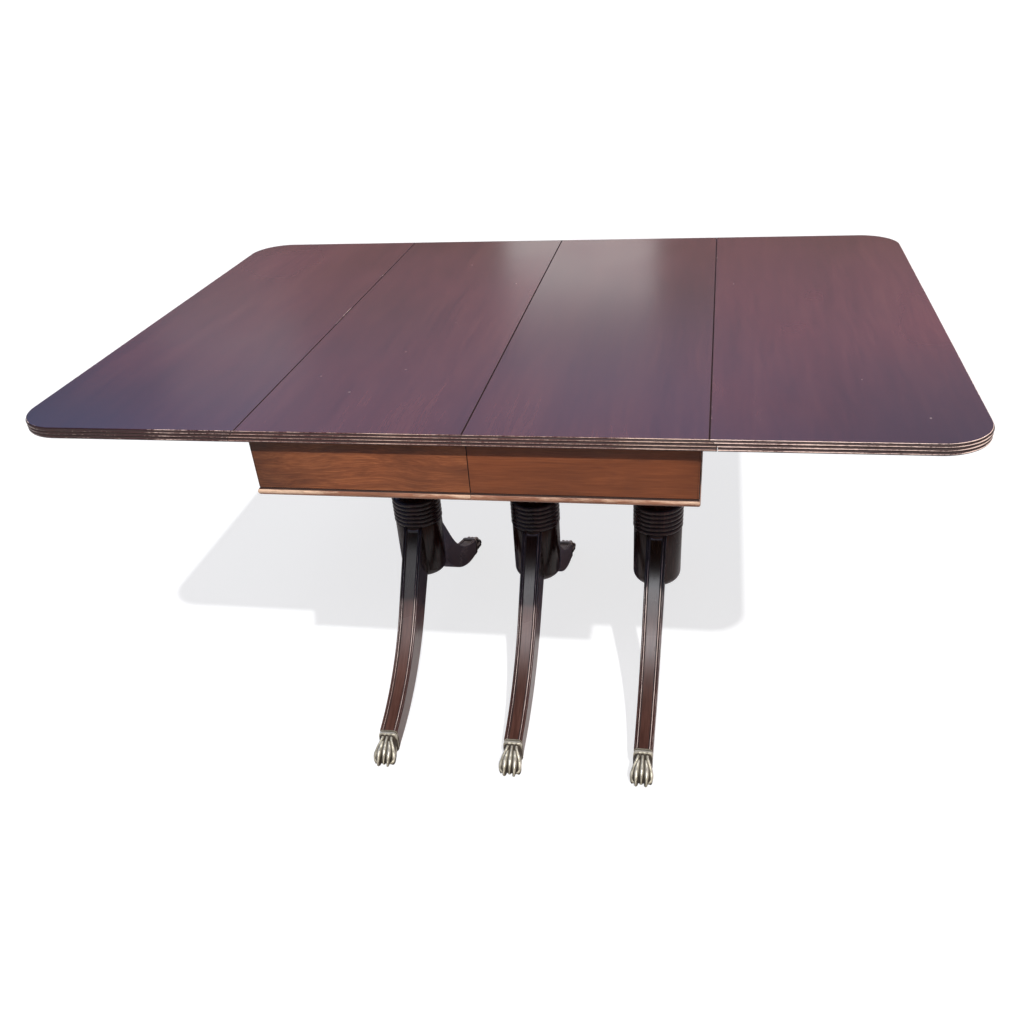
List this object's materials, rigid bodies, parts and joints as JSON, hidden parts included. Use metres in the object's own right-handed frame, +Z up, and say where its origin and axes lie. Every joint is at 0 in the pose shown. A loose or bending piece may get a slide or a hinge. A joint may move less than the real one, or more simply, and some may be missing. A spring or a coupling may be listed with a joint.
{
  "type": "triple pedestal dining table",
  "caption": "Rectangular dining table with drop leaves on rule joints, a sliding centre split, and turned pedestals with sabre legs and brass paw caps.",
  "frame": {"origin": "on the floor under the middle of the top, with the leaves up and the halves closed", "axes": "+X along the length from the left leaf to the right leaf, +Y from the front to the back, +Z up"},
  "size_m": [1.408, 1.016, 0.74],
  "materials": {
    "top_mahogany": "satin, aged polish",
    "apron_mahogany": "satin, aged polish",
    "turned_mahogany": "dark gloss polish",
    "slide_wood": "dry, unpolished",
    "cast_brass": "aged, dull",
    "hinge_iron": "dark, dull"
  },
  "bodies": {
    "centre_pedestal": {"centre_front_slide": "slide_wood", "centre_back_slide": "slide_wood", "centre_bearer": "slide_wood", "centre_column": "turned_mahogany", "centre_front_leg": "turned_mahogany", "centre_back_leg": "turned_mahogany", "centre_front_paw_cap": "cast_brass", "centre_back_paw_cap": "cast_brass"},
    "left_half": {"left_half_top": "top_mahogany", "left_end_apron": "apron_mahogany", "left_end_bead": "apron_mahogany", "left_bearer": "slide_wood", "left_front_apron": "apron_mahogany", "left_front_bead": "apron_mahogany", "left_front_loper_guide": "slide_wood", "left_front_slide": "slide_wood", "left_back_apron": "apron_mahogany", "left_back_bead": "apron_mahogany", "left_back_loper_guide": "slide_wood", "left_back_slide": "slide_wood", "left_front_hinge_plate": "hinge_iron", "left_middle_hinge_plate": "hinge_iron", "left_back_hinge_plate": "hinge_iron", "left_column": "turned_mahogany", "left_front_leg": "turned_mahogany", "left_front_paw_cap": "cast_brass", "left_back_leg": "turned_mahogany", "left_back_paw_cap": "cast_brass"},
    "right_half": {"right_half_top": "top_mahogany", "right_end_apron": "apron_mahogany", "right_end_bead": "apron_mahogany", "right_bearer": "slide_wood", "right_front_apron": "apron_mahogany", "right_front_bead": "apron_mahogany", "right_front_loper_guide": "slide_wood", "right_front_slide": "slide_wood", "right_back_apron": "apron_mahogany", "right_back_bead": "apron_mahogany", "right_back_loper_guide": "slide_wood", "right_back_slide": "slide_wood", "right_front_hinge_plate": "hinge_iron", "right_middle_hinge_plate": "hinge_iron", "right_back_hinge_plate": "hinge_iron", "right_column": "turned_mahogany", "right_front_leg": "turned_mahogany", "right_front_paw_cap": "cast_brass", "right_back_leg": "turned_mahogany", "right_back_paw_cap": "cast_brass"},
    "left_leaf": {"left_drop_leaf": "top_mahogany", "left_front_hinge_flap": "hinge_iron", "left_middle_hinge_flap": "hinge_iron", "left_back_hinge_flap": "hinge_iron"},
    "right_leaf": {"right_drop_leaf": "top_mahogany", "right_front_hinge_flap": "hinge_iron", "right_middle_hinge_flap": "hinge_iron", "right_back_hinge_flap": "hinge_iron"},
    "left_front_loper": {"left_front_loper": "slide_wood"},
    "left_back_loper": {"left_back_loper": "slide_wood"},
    "right_front_loper": {"right_front_loper": "slide_wood"},
    "right_back_loper": {"right_back_loper": "slide_wood"}
  },
  "joints": [
    {"name": "left_half_slide", "type": "slide", "parent": "centre_pedestal", "child": "left_half", "axis": [-1, 0, 0], "range_m": [0, 0.305]},
    {"name": "right_half_slide", "type": "slide", "parent": "centre_pedestal", "child": "right_half", "axis": [1, 0, 0], "range_m": [0, 0.305]},
    {"name": "left_leaf_hinge", "type": "hinge", "parent": "left_half", "child": "left_leaf", "pos_m": [-0.3365, 0, 0.726], "axis": [0, 1, 0], "range_deg": [-90, 0]},
    {"name": "right_leaf_hinge", "type": "hinge", "parent": "right_half", "child": "right_leaf", "pos_m": [0.3365, 0, 0.726], "axis": [0, -1, 0], "range_deg": [-90, 0]},
    {"name": "left_front_loper_slide", "type": "slide", "parent": "left_half", "child": "left_front_loper", "axis": [-1, 0, 0], "range_m": [0, 0.165]},
    {"name": "left_back_loper_slide", "type": "slide", "parent": "left_half", "child": "left_back_loper", "axis": [-1, 0, 0], "range_m": [0, 0.165]},
    {"name": "right_front_loper_slide", "type": "slide", "parent": "right_half", "child": "right_front_loper", "axis": [1, 0, 0], "range_m": [0, 0.165]},
    {"name": "right_back_loper_slide", "type": "slide", "parent": "right_half", "child": "right_back_loper", "axis": [1, 0, 0], "range_m": [0, 0.165]}
  ]
}
